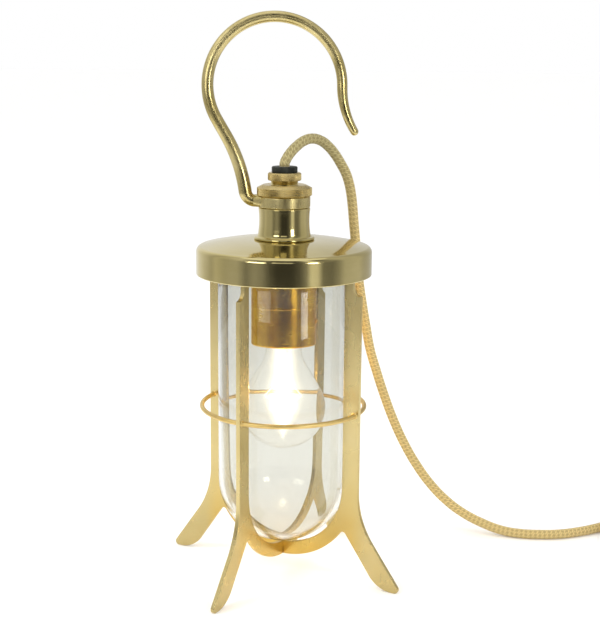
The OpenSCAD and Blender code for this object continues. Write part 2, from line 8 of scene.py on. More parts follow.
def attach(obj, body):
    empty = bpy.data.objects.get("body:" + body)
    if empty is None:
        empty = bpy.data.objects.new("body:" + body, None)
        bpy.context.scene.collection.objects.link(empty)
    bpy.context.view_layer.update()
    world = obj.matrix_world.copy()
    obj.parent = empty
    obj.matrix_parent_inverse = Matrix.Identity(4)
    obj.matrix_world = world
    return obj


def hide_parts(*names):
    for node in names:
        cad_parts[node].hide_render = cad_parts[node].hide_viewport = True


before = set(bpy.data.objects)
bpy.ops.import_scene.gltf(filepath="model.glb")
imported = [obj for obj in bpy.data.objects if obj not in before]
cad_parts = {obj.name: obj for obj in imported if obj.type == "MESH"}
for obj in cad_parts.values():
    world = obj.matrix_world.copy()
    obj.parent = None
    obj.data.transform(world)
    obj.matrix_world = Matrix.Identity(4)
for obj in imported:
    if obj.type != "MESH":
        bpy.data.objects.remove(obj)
scene = bpy.context.scene
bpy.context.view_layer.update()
print("frame loaded:", len(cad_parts), "nodes")

mm = 0.001


def rotation(degrees, axis="Z"):
    return Matrix.Rotation(math.radians(degrees), 4, axis)


sideTurn = rotation(30)


def turned(points):
    # from the hook's and cord's own millimetres, where the hook lies along x, to the frame's metres
    return [sideTurn @ (Vector(p) * mm) for p in points]


def link(obj):
    scene.collection.objects.link(obj)
    return obj


# camera
cameraSetup = {
    "place": (0.4461, -0.7727, 0.3702),
    "heading": 29.26,
    "down": 11.5,
    "roll": 0.496,
    "lens": 73.21,
}


def addCamera(setup):
    data = bpy.data.cameras.new("camera")
    data.sensor_width = 36
    data.lens = setup["lens"]
    data.clip_start = 0.02
    camera = link(bpy.data.objects.new("camera", data))
    camera.matrix_world = Matrix.Translation(setup["place"]) @ rotation(setup["heading"]) \
        @ rotation(90 - setup["down"], "X") @ rotation(setup["roll"])
    scene.camera = camera


addCamera(cameraSetup)
print("camera ready")


# material making
def addNode(tree, kind, values=None, **settings):
    node = tree.nodes.new("ShaderNode" + kind)
    for name, value in settings.items():
        setattr(node, name, value)
    for socket, value in (values or {}).items():
        node.inputs[socket].default_value = value
    return node


def feed(tree, node, values):
    # links each socket, or sets its value
    for socket, value in values:
        if hasattr(value, "links"):
            tree.links.new(value, node.inputs[socket])
        else:
            node.inputs[socket].default_value = value


def calc(tree, operation, *values):
    node = addNode(tree, "Math", operation=operation)
    feed(tree, node, enumerate(values))
    return node.outputs[0]


def startMaterial(name, values):
    material = bpy.data.materials.new(name)
    material.use_nodes = True
    shader = material.node_tree.nodes["Principled BSDF"]
    feed(material.node_tree, shader, values.items())
    return material, material.node_tree, shader


def place(tree, scale=(1, 1, 1)):
    # object coordinates, stretched along the grain
    coords = addNode(tree, "TexCoord")
    mapping = addNode(tree, "Mapping", {"Scale": scale})
    tree.links.new(coords.outputs["Object"], mapping.inputs["Vector"])
    return mapping.outputs["Vector"]


def aboutAxis(tree):
    # the split object coordinates, and the distance from the lantern's axis
    coords = addNode(tree, "TexCoord")
    parts = addNode(tree, "SeparateXYZ")
    flat = addNode(tree, "VectorMath", {1: (1, 1, 0)}, operation="MULTIPLY")
    radius = addNode(tree, "VectorMath", operation="LENGTH")
    tree.links.new(coords.outputs["Object"], parts.inputs[0])
    tree.links.new(coords.outputs["Object"], flat.inputs[0])
    tree.links.new(flat.outputs[0], radius.inputs[0])
    return parts.outputs, radius.outputs["Value"]


def turnedPlace(tree, scale):
    # radius, angle and height, so that marks run round the axis
    parts, radius = aboutAxis(tree)
    joined = addNode(tree, "CombineXYZ")
    mapping = addNode(tree, "Mapping", {"Scale": scale})
    tree.links.new(radius, joined.inputs["X"])
    tree.links.new(calc(tree, "ARCTAN2", parts["Y"], parts["X"]), joined.inputs["Y"])
    tree.links.new(parts["Z"], joined.inputs["Z"])
    tree.links.new(joined.outputs[0], mapping.inputs["Vector"])
    return mapping.outputs["Vector"]


def noise(tree, vector, scale, detail=2.0):
    node = addNode(tree, "TexNoise", {"Scale": scale, "Detail": detail})
    tree.links.new(vector, node.inputs["Vector"])
    return node.outputs[0]


def ramp(tree, factor, *stops):
    node = addNode(tree, "ValToRGB")
    elements = node.color_ramp.elements
    elements[0].position, elements[0].color = stops[0][0], stops[0][1]
    elements[1].position, elements[1].color = stops[-1][0], stops[-1][1]
    for position, colour in stops[1:-1]:
        elements.new(position).color = colour
    tree.links.new(factor, node.inputs["Fac"])
    return node.outputs["Color"]


def remap(tree, value, low, high, toLow, toHigh):
    node = addNode(tree, "MapRange",
        {"From Min": low, "From Max": high, "To Min": toLow, "To Max": toHigh})
    tree.links.new(value, node.inputs["Value"])
    return node.outputs["Result"]


def mixColour(tree, factor, first, second, kind="MIX"):
    node = addNode(tree, "Mix", data_type="RGBA", blend_type=kind)
    feed(tree, node, ((0, factor), (6, first), (7, second)))
    return node.outputs[2]


def bump(tree, shader, height, distance, after=None):
    node = addNode(tree, "Bump", {"Strength": 1.0, "Distance": distance})
    tree.links.new(height, node.inputs["Height"])
    if after:
        tree.links.new(after, node.inputs["Normal"])
    tree.links.new(node.outputs[0], shader.inputs["Normal"])
    return node.outputs[0]


# shared unless a metal says otherwise; spans say where marks begin and end in their noise, and
# depths, radii and heights are in millimetres
brassDefaults = {
    "turned": True, "metal": 1.0, "lacquer": 0.0, "coatRough": 0.06, "cloud": 60, "pits": 900,
    "pitEdge": 0.74, "lineTone": 0.3, "smear": 0.08, "wave": 0.05, "pitSpan": 0.05,
    "pitShare": 0.8, "pitTone": (0.1, 0.07, 0.03, 1), "cloudSpan": (0.32, 0.68),
    "lineSpan": (0.35, 0.7), "grainSpan": (0.3, 0.7), "smearSpan": (0.3, 0.75),
    "cradleRadius": (66, 56), "lowHeight": (75, 20),
}


def paintLowShadeAndBulbGlow(tree, tone, s):
    # painted light and shade low down: painted shade darkens the feet, and painted warm light from
    # the bulb makes the cradle under it darker and more amber
    parts, radius = aboutAxis(tree)
    far, close = s["cradleRadius"]
    high, low = s["lowHeight"]
    near = remap(tree, radius, far * mm, close * mm, 0.0, 1.0)
    shadeAndBulbGlow = mixColour(tree, near, s["feet"], s["cradle"])
    return mixColour(tree, remap(tree, parts["Z"], high * mm, low * mm, 0.0, 1.0), tone,
        mixColour(tree, 1.0, tone, shadeAndBulbGlow, "MULTIPLY"))


def brass(name, setup):
    # two tones mottled together, grain lines in roughness and height, and a few dark pits
    s = brassDefaults | setup
    material, tree, shader = startMaterial(name, {"Metallic": s["metal"],
        "Coat Weight": s["lacquer"], "Coat Roughness": s["coatRough"]})
    grain = (turnedPlace if s["turned"] else place)(tree, s["grain"])
    lines = noise(tree, grain, 1.0, 3.0)
    cloud = noise(tree, place(tree), s["cloud"], 4.0)
    speck = noise(tree, place(tree), s["pits"], 2.0)
    tone = ramp(tree, cloud, *zip(s["cloudSpan"], (s["dark"], s["light"])))
    lined = remap(tree, lines, *s["lineSpan"], 0.0, s["lineTone"])
    tone = mixColour(tree, lined, tone, s["dark"])
    # painted shade on the feet and painted bulb light in the cradle
    if "cradle" in s:
        tone = paintLowShadeAndBulbGlow(tree, tone, s)
    pitted = remap(tree, speck, s["pitEdge"], s["pitEdge"] + s["pitSpan"], 0.0, s["pitShare"])
    tree.links.new(mixColour(tree, pitted, tone, s["pitTone"]), shader.inputs["Base Color"])
    rough = calc(tree, "ADD", remap(tree, lines, *s["grainSpan"], *s["rough"]),
        remap(tree, cloud, *s["smearSpan"], 0.0, s["smear"]))
    tree.links.new(rough, shader.inputs["Roughness"])
    uneven = bump(tree, shader, cloud, s["wave"] * mm)
    bump(tree, shader, lines, s["lineDepth"] * mm, after=uneven)
    return material


brassFinishes = {
    "satin": {"light": (0.68, 0.56, 0.275, 1), "dark": (0.59, 0.47, 0.2, 1), "turned": False,
        "grain": (380, 380, 40), "cloud": 24, "pits": 240, "pitEdge": 0.9, "lineTone": 0.0,
        "rough": (0.225, 0.235), "wave": 0.06, "lineDepth": 0.0001, "metal": 0.88,
        # the last two tones are painted: shade low on the feet, and warm light from the bulb in the
        # cradle
        "feet": (0.79, 0.79, 0.77, 1), "cradle": (0.88, 0.76, 0.42, 1)},
    "polished": {"light": (0.7, 0.595, 0.29, 1), "dark": (0.6, 0.5, 0.21, 1),
        "grain": (1500, 1.5, 1500), "cloud": 30, "pitEdge": 0.78, "lineTone": 0.35,
        "rough": (0.05, 0.11), "smear": 0.05, "lineDepth": 0.004, "lacquer": 0.15},
    "knurled": {"light": (0.72, 0.58, 0.27, 1), "dark": (0.5, 0.38, 0.15, 1),
        "grain": (1200, 2, 1200), "rough": (0.16, 0.3), "smear": 0.1, "lineDepth": 0.006},
    "cast": {"light": (0.7, 0.59, 0.29, 1), "dark": (0.54, 0.44, 0.18, 1), "turned": False,
        "grain": (260, 260, 90), "cloud": 45, "pits": 420, "lineTone": 0.25,
        "rough": (0.17, 0.3), "smear": 0.12, "wave": 0.25, "lineDepth": 0.015},
    "wire": {"light": (0.8, 0.61, 0.25, 1), "dark": (0.64, 0.45, 0.15, 1),
        "grain": (1500, 6, 1500), "pits": 700, "pitEdge": 0.72, "lineTone": 0.2,
        "rough": (0.3, 0.4), "wave": 0.04, "lineDepth": 0.003, "metal": 0.93},
    "amber": {"light": (1.0, 0.64, 0.07, 1), "dark": (0.74, 0.37, 0.02, 1),
        "grain": (1200, 3, 1200), "cloud": 90, "pits": 420, "lineTone": 0.2,
        "rough": (0.14, 0.24), "wave": 0.1, "lineDepth": 0.006},
    "inner": {"light": (0.62, 0.5, 0.24, 1), "dark": (0.48, 0.36, 0.14, 1),
        "grain": (900, 2, 900), "pits": 700, "lineTone": 0.4,
        "rough": (0.26, 0.42), "smear": 0.1, "wave": 0.04, "lineDepth": 0.012},
    "steel": {"light": (0.62, 0.62, 0.63, 1), "dark": (0.45, 0.45, 0.47, 1), "turned": False,
        "grain": (600, 600, 600), "cloud": 90, "rough": (0.24, 0.38), "wave": 0.03,
        "lineDepth": 0.008},
    "zinc": {"light": (0.78, 0.78, 0.8, 1), "dark": (0.6, 0.6, 0.62, 1),
        "grain": (900, 2, 900), "cloud": 80, "pitEdge": 0.76, "rough": (0.18, 0.3),
        "wave": 0.03, "lineDepth": 0.006},
}
finish = {name: brass(name + "_metal", setup) for name, setup in brassFinishes.items()}


def plasticMaterial(name, setup):
    material, tree, shader = startMaterial(name, {"Coat Weight": setup["coat"],
        "Coat Roughness": 0.12, "Specular IOR Level": setup.get("gloss", 0.5)})
    grain = noise(tree, place(tree), setup["grain"], 3.0)
    cloud = noise(tree, place(tree), setup["cloud"], 2.0)
    tree.links.new(ramp(tree, cloud, (0.35, setup["dark"]), (0.65, setup["light"])),
        shader.inputs["Base Color"])
    low, high = setup["rough"]
    tree.links.new(remap(tree, grain, 0.3, 0.7, low, high), shader.inputs["Roughness"])
    bump(tree, shader, grain, setup["depth"])
    return material


plasticFinishes = {
    "ivory": {"light": (0.78, 0.75, 0.68, 1), "dark": (0.7, 0.67, 0.59, 1), "coat": 0.2,
        "grain": 1800, "cloud": 40, "rough": (0.28, 0.42), "depth": 0.00002},
    "black": {"light": (0.032, 0.034, 0.026, 1), "dark": (0.014, 0.015, 0.012, 1), "coat": 0.0,
        "gloss": 0.12, "grain": 1500, "cloud": 120, "rough": (0.35, 0.55), "depth": 0.00003},
    "ceramic": {"light": (0.82, 0.8, 0.73, 1), "dark": (0.74, 0.71, 0.63, 1), "coat": 0.6,
        "grain": 500, "cloud": 60, "rough": (0.18, 0.32), "depth": 0.00003},
    "rubber": {"light": (0.06, 0.06, 0.058, 1), "dark": (0.03, 0.03, 0.03, 1), "coat": 0.0,
        "grain": 2200, "cloud": 90, "rough": (0.65, 0.85), "depth": 0.00004},
}
for name, setup in plasticFinishes.items():
    finish[name] = plasticMaterial(name + "_finish", setup)


def clearGlass(name, setup):
    # blown glass: faint smears in the gloss and slow waves in the wall
    material, tree, shader = startMaterial(name, {"Base Color": setup["tint"], "IOR": setup["ior"],
        "Transmission Weight": 1.0, "Coat Weight": setup["coat"], "Coat Roughness": 0.01})
    smears = noise(tree, place(tree, (1, 1, 0.35)), setup["smears"], 3.0)
    waves = noise(tree, place(tree, (1, 1, 0.3)), setup["waves"], 1.0)
    tree.links.new(remap(tree, smears, 0.45, 0.8, 0.0, setup["haze"]), shader.inputs["Roughness"])
    bump(tree, shader, waves, setup["depth"])
    return material, tree, shader


print("metals and plastics mixed")


# shape making
def shares(count, first=1):
    return [k / count for k in range(first, count + 1)]


def arc(x, z, radius, start, end, steps):
    turns = [math.radians(start + (end - start) * t) for t in shares(steps, 0)]
    return [(x + radius * math.cos(a), z + radius * math.sin(a)) for a in turns]


def rounded(corners, steps=6):
    # an outline with a fillet at each corner that names a radius as its third number
    outline = []
    for i, corner in enumerate(corners):
        here = Vector(corner[:2])
        if len(corner) < 3:
            outline.append(tuple(here))
            continue
        back = (Vector(corners[i - 1][:2]) - here).normalized()
        ahead = (Vector(corners[(i + 1) % len(corners)][:2]) - here).normalized()
        half = back.angle(ahead) / 2
        centre = here + (back + ahead).normalized() * corner[2] / math.sin(half)
        reach = corner[2] / math.tan(half)
        start, end = here + back * reach - centre, here + ahead * reach - centre
        outline += [tuple(centre + start.slerp(end, k / steps) * corner[2])
            for k in range(steps + 1)]
    return outline


def pieceFrom(bm, name, creaseAngle=35):
    bmesh.ops.remove_doubles(bm, verts=bm.verts, dist=2e-7)
    bmesh.ops.recalc_face_normals(bm, faces=bm.faces)
    mesh = bpy.data.meshes.new(name)
    bm.to_mesh(mesh)
    bm.free()
    mesh.shade_smooth()
    mesh.set_sharp_from_angle(angle=math.radians(creaseAngle))
    return link(bpy.data.objects.new(name, mesh))


def spinProfile(bm, profile, steps, along=Matrix.Identity(4)):
    # turns a closed profile of (radius, height) about the upright axis; along moves it elsewhere
    verts = [bm.verts.new(along @ Vector((r * mm, 0, z * mm))) for r, z in profile]
    edges = [bm.edges.new(pair) for pair in zip(verts, verts[1:] + verts[:1])]
    bmesh.ops.spin(bm, geom=verts + edges, cent=along.translation,
        axis=along.to_3x3() @ Vector((0, 0, 1)), angle=2 * math.pi, steps=steps, use_merge=True)


def lathe(name, profile, steps=128, creaseAngle=35):
    bm = bmesh.new()
    spinProfile(bm, profile, steps)
    return pieceFrom(bm, name, creaseAngle)


def dress(piece, material, body, slot, *nodes, evenNormals=False):
    piece.data.materials.append(material)
    if evenNormals:
        piece.modifiers.new("even normals", "WEIGHTED_NORMAL").keep_sharp = True
    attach(piece, body)
    if nodes:
        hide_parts(*nodes)
    return piece


# cage
cageSetup = {
    "inner": 49, "thickness": 3, "edge": 0.5,
    "archHeight": 71, "cradleOuter": 59, "legTop": 231, "topRound": 0.6,
    "notch": (61.5, 215, 6),
    "flare": (121.5, 68, 60, 36),
    "footWidth": 14.5, "toeRound": 2.8, "heelRound": 22.0, "crotchRound": 2.5,
    "lapHeight": 17,
}


def halfOutline(s):
    # from the cradle's lowest point out to the foot, up the leg and back down the inner edge
    cx, cz, flareRadius, lean = s["flare"]
    a = math.radians(lean)
    out, up = Vector((math.sin(a), -math.cos(a))), Vector((math.cos(a), math.sin(a)))
    arch = Vector((0, s["archHeight"]))
    flareEnd = Vector((cx, cz)) - up * flareRadius
    heel = flareEnd - up * s["footWidth"]
    across = (heel - arch).dot(up) - s["crotchRound"]
    along = math.sqrt((s["cradleOuter"] + s["crotchRound"]) ** 2 - across ** 2)
    crotch = arch + up * across + out * along
    toArch = math.degrees(math.atan2(arch.y - crotch.y, arch.x - crotch.x))
    soleInner = heel + out * heel.y / math.cos(a)
    soleOuter = flareEnd + out * flareEnd.y / math.cos(a)
    foot = rounded([tuple(crotch), (*soleInner, s["heelRound"]), (*soleOuter, s["toeRound"]),
        tuple(flareEnd)], 8)[1:-1]
    nx, nz, notchRadius = s["notch"]
    lower = arc(*arch, s["cradleOuter"], -90, toArch - 180, 26)
    lower += arc(*crotch, s["crotchRound"], toArch, lean, 8) + foot
    lower += arc(cx, cz, flareRadius, 180 + lean, 180, 20)
    upper = arc(nx, nz, notchRadius, 270, 180, 10)
    upper += rounded([(nx - notchRadius, nz), (nx - notchRadius, s["legTop"], s["topRound"]),
        (s["inner"], s["legTop"], s["topRound"]), (s["inner"], s["archHeight"])])[1:-1]
    return lower, upper + arc(*arch, s["inner"], 0, -90, 30)


def cagePlate(name, s, slotFromAbove, turn):
    lower, upper = halfOutline(s)
    half = s["thickness"] / 2
    if slotFromAbove:
        archLow = upper[-1][1]
        upper = [p for p in upper if p[0] > half or p[1] > s["archHeight"]]
        upper += [(half, archLow), (half, s["lapHeight"])]
    else:
        lower = [(half, s["lapHeight"]), (half, lower[0][1])] + [p for p in lower if p[0] > half]
    right = lower + upper
    left = [(-x, z) for x, z in reversed(right)]
    outline = right + [p for p in left if p[0] < -1e-6]
    bm = bmesh.new()
    face = bm.faces.new([bm.verts.new((x * mm, -half * mm, z * mm)) for x, z in outline])
    grown = bmesh.ops.extrude_face_region(bm, geom=[face])["geom"]
    moved = [g for g in grown if isinstance(g, bmesh.types.BMVert)]
    bmesh.ops.translate(bm, verts=moved, vec=(0, s["thickness"] * mm, 0))
    bmesh.ops.remove_doubles(bm, verts=bm.verts, dist=1e-6)
    bmesh.ops.recalc_face_normals(bm, faces=bm.faces)
    rim = [e for e in bm.edges if any(len(f.verts) > 4 for f in e.link_faces)]
    bmesh.ops.bevel(bm, geom=rim, offset=s["edge"] * mm, segments=3, profile=0.5,
        affect="EDGES", material=-1)
    bmesh.ops.rotate(bm, verts=bm.verts, cent=(0, 0, 0), matrix=Matrix.Rotation(turn, 3, "Z"))
    return pieceFrom(bm, name)


for name, fromAbove, turn, node in (("cage_plate_y", True, math.pi / 2, "cage_frame_y"),
        ("cage_plate_x", False, 0, "cage_frame_x")):
    dress(cagePlate(name, cageSetup, fromAbove, turn), finish["satin"], "lantern", "satin_brass",
        node, evenNormals=True)

ringSetup = {"radius": 58, "height": 124.5, "wire": 1.6,
    "solder": 1.2, "solderStart": 1.4, "solderLength": 1.3}


def guardRing(s):
    bm = bmesh.new()
    spinProfile(bm, arc(s["radius"], s["height"], s["wire"], 0, 360, 20)[:-1], 192)
    return pieceFrom(bm, "guard_wire", 80)


def solderBeads(s):
    # a small fillet of solder each side of each leg, where the wire passes through
    bm = bmesh.new()
    core, start, length = s["wire"] * 0.9, s["solderStart"], s["solderLength"]
    hollow = [(s["wire"] + s["solder"] * (1 - math.sin(a)), start + length * (1 - math.cos(a)))
        for a in (0.0, 0.4, 0.8, 1.2, math.pi / 2)]
    profile = [(core, start - 0.1)] + hollow + [(core, start + length + 0.05)]
    outward = Matrix.Translation((s["radius"] * mm, 0, s["height"] * mm))
    for quarter in range(4):
        leg = rotation(90 * quarter) @ outward
        for side in (90, 270):
            spinProfile(bm, profile, 20, leg @ rotation(side, "X"))
    return pieceFrom(bm, "wire_solder", 60)


dress(guardRing(ringSetup), finish["wire"], "lantern", "wire_brass", "guard_ring")
dress(solderBeads(ringSetup), finish["wire"], "lantern", "wire_brass", "ring_collars")
print("cage cut and bevelled")

# lid and neck
lidSetup = {"radius": 61.5, "low": 219.5, "side": 235.5, "edge": 4.0, "shoulder": 80, "top": 244,
    "land": 24, "wall": 2.5, "plate": 4, "recess": 39.5, "bore": 8.1, "fall": (0.72, 0.28)}
neckSetup = {"foot": 21.2, "radius": 18, "waist": 17.55, "low": 244, "top": 266.3, "bore": 7,
    "lip": 2.1, "lipStep": 1.4, "coveHeight": 3.6, "waistStart": 6.2, "head": 1.4,
    "spigot": 8, "spigotDrop": 2}


def lidProfile(s):
    inner, under = s["radius"] - s["wall"], s["top"] - s["plate"]
    across, drop = s["radius"] - s["edge"] - s["land"], s["top"] - s["side"] - s["edge"]
    late, even = s["fall"]
    dome = [(s["land"] + across * t, s["top"] - drop * (late * t * t + even * t))
        for t in reversed(shares(10))]
    shoulder = arc(s["radius"] - s["edge"], s["side"], s["edge"], 0, s["shoulder"], 8)
    outside = rounded([(inner, s["low"], 0.4), (s["radius"], s["low"], 0.7),
        (s["radius"], s["side"])], 4)
    return outside[:-1] + shoulder + dome + [(s["land"], s["top"]), (s["bore"], s["top"]),
        (s["bore"], under), (s["recess"], under), (s["recess"], s["side"]), (inner, s["side"])]


def neckProfile(s):
    foot, r, low = s["foot"], s["radius"], s["low"]
    lipTop, waistLow = low + s["lip"], low + s["waistStart"]
    lip = rounded([(s["spigot"], low), (foot, low, 0.9), (foot, lipTop, 1.0),
        (foot - s["lipStep"], lipTop)], 4)
    cove = [(r + 0.1 + (foot - s["lipStep"] - 0.1 - r) * (1 - math.sin(a)),
        lipTop + s["coveHeight"] * (1 - math.cos(a)))
        for a in [math.pi / 2 * t for t in shares(8)]]
    height = s["top"] - s["head"] - waistLow
    waist = [(s["waist"] + (r - s["waist"]) * (2 * t - 1) ** 2, waistLow + height * t)
        for t in shares(10)]
    head = rounded([waist[-1], (r, s["top"], 0.8), (s["bore"], s["top"])], 5)[1:]
    under = low - s["spigotDrop"]
    return lip + cove + waist + head + [(s["bore"], under), (s["spigot"], under)]


for piece, node in ((lathe("domed_lid", lidProfile(lidSetup), 192), "lid"),
        (lathe("turned_neck", neckProfile(neckSetup), 128, 50), "neck")):
    dress(piece, finish["polished"], "lantern", "polished_brass", node, evenNormals=True)

# hook
hookSetup = {
    "loop": (-7, 349.4, 46, 210), "tip": (58, 32), "straight": 12.6, "stemArc": 107, "baseLean": 8,
    "lugHeight": 270.3, "lug": (-11, -15), "bore": 9.6,
    "collarRadius": 18, "collarLow": 266.4, "collarHeight": 7.8,
    "rod": {"root": 8.0, "elbow": 9.2, "stem": 8.5, "loopStart": 8.4, "loop": 7.6, "crown": 7.2,
        "tip": 5.6},
    "nose": (0.3, 0.6, 0.9, 1.2, 1.45),
    "wedge": {"tip": -21.6, "round": 4.3, "lift": 0.5, "root": -8.5, "halfWidth": 14.2},
}


def hookPath(s):
    # centre line and diameter, from the collar up the stem, round the loop and out to the tip
    lx, lz, loopRadius, loopTurn = s["loop"]
    lean = math.radians(loopTurn - 180)
    base, big = math.radians(s["baseLean"]), s["stemArc"]
    loopEnd = Vector(arc(lx, lz, loopRadius, loopTurn, loopTurn, 1)[0])
    straightEnd = loopEnd + s["straight"] * Vector((math.sin(lean), -math.cos(lean)))
    stemCentre = straightEnd - big * Vector((math.cos(lean), math.sin(lean)))
    stemEnd = stemCentre + big * Vector((math.cos(base), math.sin(base)))
    elbow = (stemEnd.y - s["lugHeight"]) / (1 - math.sin(base))
    elbowX = stemEnd.x + elbow * math.cos(base)
    tipRadius, tipTurn = s["tip"]
    rod = s["rod"]
    lug = [(x, s["lugHeight"]) for x in s["lug"]]
    bend = arc(elbowX, s["lugHeight"] + elbow, elbow, 270, 180 + s["baseLean"], 12)
    stem = arc(*stemCentre, big, s["baseLean"], loopTurn - 180, 20)[1:]
    rise = arc(lx, lz, loopRadius, loopTurn, 90, 50)
    fall = arc(lx, lz, loopRadius, 90, 0, 40)[1:]
    curl = arc(lx + loopRadius + tipRadius, lz, tipRadius, 180, 180 + tipTurn, 16)[1:]
    path = []
    for points, first, last in ((lug, "root", "root"), (bend, "root", "elbow"),
            (stem, "elbow", "stem"), (rise, "loopStart", "loop"), (fall, "loop", "crown"),
            (curl, "crown", "tip")):
        first, last = rod[first], rod[last]
        path += [(x, z, first + (last - first) * t)
            for (x, z), t in zip(points, shares(len(points) - 1, 0))]
    return path


def meshFrom(curve):
    # a curve's mesh; the curve isn't kept
    guide = link(bpy.data.objects.new(curve.name, curve))
    shape = guide.evaluated_get(bpy.context.evaluated_depsgraph_get())
    mesh = bpy.data.meshes.new_from_object(shape)
    bpy.data.objects.remove(guide)
    return mesh


def sweptTube(name, path, sides):
    # path holds (place, diameter) in metres; the tube's ends are closed
    data = bpy.data.curves.new(name, "CURVE")
    data.dimensions = "3D"
    data.bevel_depth = 1.0
    data.bevel_resolution = (sides - 4) // 2
    data.use_fill_caps = True
    spline = data.splines.new("POLY")
    spline.points.add(len(path) - 1)
    for point, (where, diameter) in zip(spline.points, path):
        point.co = (*where, 1)
        point.radius = diameter / 2
    return meshFrom(data)


def hookPiece(s):
    path = [(sideTurn @ Vector((x * mm, 0, z * mm)), d * mm) for x, z, d in hookPath(s)]
    # a rounded nose past the tip
    ahead = (path[-1][0] - path[-2][0]).normalized()
    end, width = path[-1]
    path += [(end + ahead * width / 2 * math.sin(a), max(0.08, math.cos(a)) * width)
        for a in s["nose"]]
    bm = bmesh.new()
    bm.from_mesh(sweptTube("rod", path, 32))
    low, high = s["collarLow"], s["collarLow"] + s["collarHeight"]
    # the arm spreads into the collar as a wedge, with its long edges eased
    w = s["wedge"]
    middle = s["lugHeight"] + w["lift"]
    wedge = [(w["tip"], w["round"] * math.cos(a), middle + w["round"] * math.sin(a))
        for a in [math.radians(15 * k) for k in range(24)]]
    wedge += [(w["root"], y * t, z) for y in (-w["halfWidth"], w["halfWidth"]) for t, z in
        ((1, low + 0.9), (1, high - 0.9), (0.94, low + 0.15), (0.94, high - 0.15))]
    bmesh.ops.convex_hull(bm, input=[bm.verts.new(sideTurn @ (Vector(p) * mm)) for p in wedge])
    spinProfile(bm, rounded([(s["bore"], low), (s["collarRadius"], low, 0.8),
        (s["collarRadius"], high, 0.9), (s["bore"], high)], 5), 128)
    return pieceFrom(bm, "hook_forging", 50)


dress(hookPiece(hookSetup), finish["cast"], "hook", "hook_brass", "hook", evenNormals=True)
print("lid, neck and hook made")

# grip: boss, knurled nuts and black insert
knurlSetup = {"depth": 0.32, "inset": 0.15, "gap": 0.25}
nutSetup = {
    "hook_nut": {"radius": 19.2, "bore": 9.55, "low": 274.3, "high": 282.0, "rows": 7,
        "around": 84, "chamfer": 4.2, "drop": 1.9, "lip": 0.7},
    "gland_nut": {"radius": 11.7, "bore": 7.65, "low": 284.9, "high": 290.3, "rows": 5,
        "around": 52, "chamfer": 0.9, "drop": 0.7, "lip": 0.5},
}


def knurledNut(name, s, knurl):
    # the side is a grid whose every other point stands proud, which gives diamond knurling
    rows, inset = s["rows"], knurl["inset"]
    low, high = s["low"] + s["lip"], s["high"] - s["drop"] - knurl["gap"]
    side = [(s["radius"] - inset, low + (high - low) * t) for t in shares(rows, 0)]
    profile = [(s["bore"], s["low"]), (s["radius"] - s["lip"] - inset, s["low"])] + side
    profile += [(s["radius"] - s["chamfer"], s["high"]), (s["bore"], s["high"])]
    bm = bmesh.new()
    spinProfile(bm, profile, 2 * s["around"])
    bmesh.ops.remove_doubles(bm, verts=bm.verts, dist=1e-6)
    step = math.pi / s["around"]
    for v in bm.verts:
        radius = v.co.xy.length / mm
        row = (v.co.z / mm - low) / (high - low) * rows
        column = round(math.atan2(v.co.y, v.co.x) / step)
        if abs(radius - s["radius"] + inset) < 0.01 and -0.01 < row < rows + 0.01:
            proud = inset if (column + round(row)) % 2 else inset - knurl["depth"]
            v.co.xy = v.co.xy * (radius + proud) / radius
    centres = [(f, f.calc_center_median()) for f in bm.faces]
    knurled = [f for f, c in centres if low * mm < c.z < high * mm
        and c.xy.length > (s["radius"] - 1) * mm]
    bmesh.ops.triangulate(bm, faces=knurled, quad_method="SHORT_EDGE")
    return pieceFrom(bm, name, 12)


for name, setup in nutSetup.items():
    dress(knurledNut("knurled_" + name, setup, knurlSetup), finish["knurled"], name,
        "polished_brass", name)

gripSetup = {"boss": 9.5, "low": 260, "neckTop": 266.3, "bossTop": 284.8, "thread": 7.6,
    "top": 289, "passage": 4.2, "tube": 6.9, "cup": 6.1, "cupFloor": 284.7,
    "grooveLow": 282.1, "groovePitch": 0.3, "grooveDepth": 0.25,
    "insert": 9.0, "insertLow": 290.4, "insertTop": 294.5, "insertStem": 6, "bore": 3.7,
    "ribs": 16, "ribDepth": 0.028}


def gripBody(s):
    groove = [(s["boss"] - s["grooveDepth"] * (k % 2), s["grooveLow"] + s["groovePitch"] * k)
        for k in range(8)]
    corners = [(s["passage"], s["low"]), (s["tube"], s["low"]), (s["tube"], s["neckTop"]),
        (s["boss"], s["neckTop"])] + groove
    corners += [(s["boss"], s["bossTop"], 0.3), (s["thread"], s["bossTop"]),
        (s["thread"], s["top"]), (s["cup"], s["top"]), (s["cup"], s["cupFloor"]),
        (s["passage"], s["cupFloor"])]
    return lathe("grip_boss", rounded(corners), 96, 40)


def gripInsert(s):
    # a ribbed rubber seal that stands out of the small nut
    bm = bmesh.new()
    spinProfile(bm, rounded([(s["bore"], s["bossTop"]), (s["insertStem"], s["bossTop"]),
        (s["insertStem"], s["insertLow"]), (s["insert"], s["insertLow"], 0.3),
        (s["insert"], s["insertTop"], 0.9), (s["bore"] + 0.5, s["insertTop"]),
        (s["bore"], s["insertTop"] - 0.6)], 4), 96)
    for v in bm.verts:
        turn = math.atan2(v.co.y, v.co.x)
        if v.co.xy.length > (s["insert"] - 0.3) * mm:
            v.co.xy *= 1 - s["ribDepth"] * (0.5 + 0.5 * math.cos(s["ribs"] * turn))
    return pieceFrom(bm, "grip_seal", 40)


dress(gripBody(gripSetup), finish["polished"], "lantern", "polished_brass", "gland_body")
dress(gripInsert(gripSetup), finish["black"], "lantern", "grip_black", "gland_insert")
print("grip and nuts made")

# well glass, with its rim and rounded bottom
glassSetup = {"radius": 46.5, "wall": 3.0, "archHeight": 71, "rimLow": 232, "rimHigh": 234,
    "rim": 50.8, "rimRound": 0.8}
wellLook = {"tint": (0.812, 0.814, 0.775, 1), "ior": 1.46, "coat": 0.0, "smears": 22, "waves": 9,
    "haze": 0.02, "depth": 0.0003}


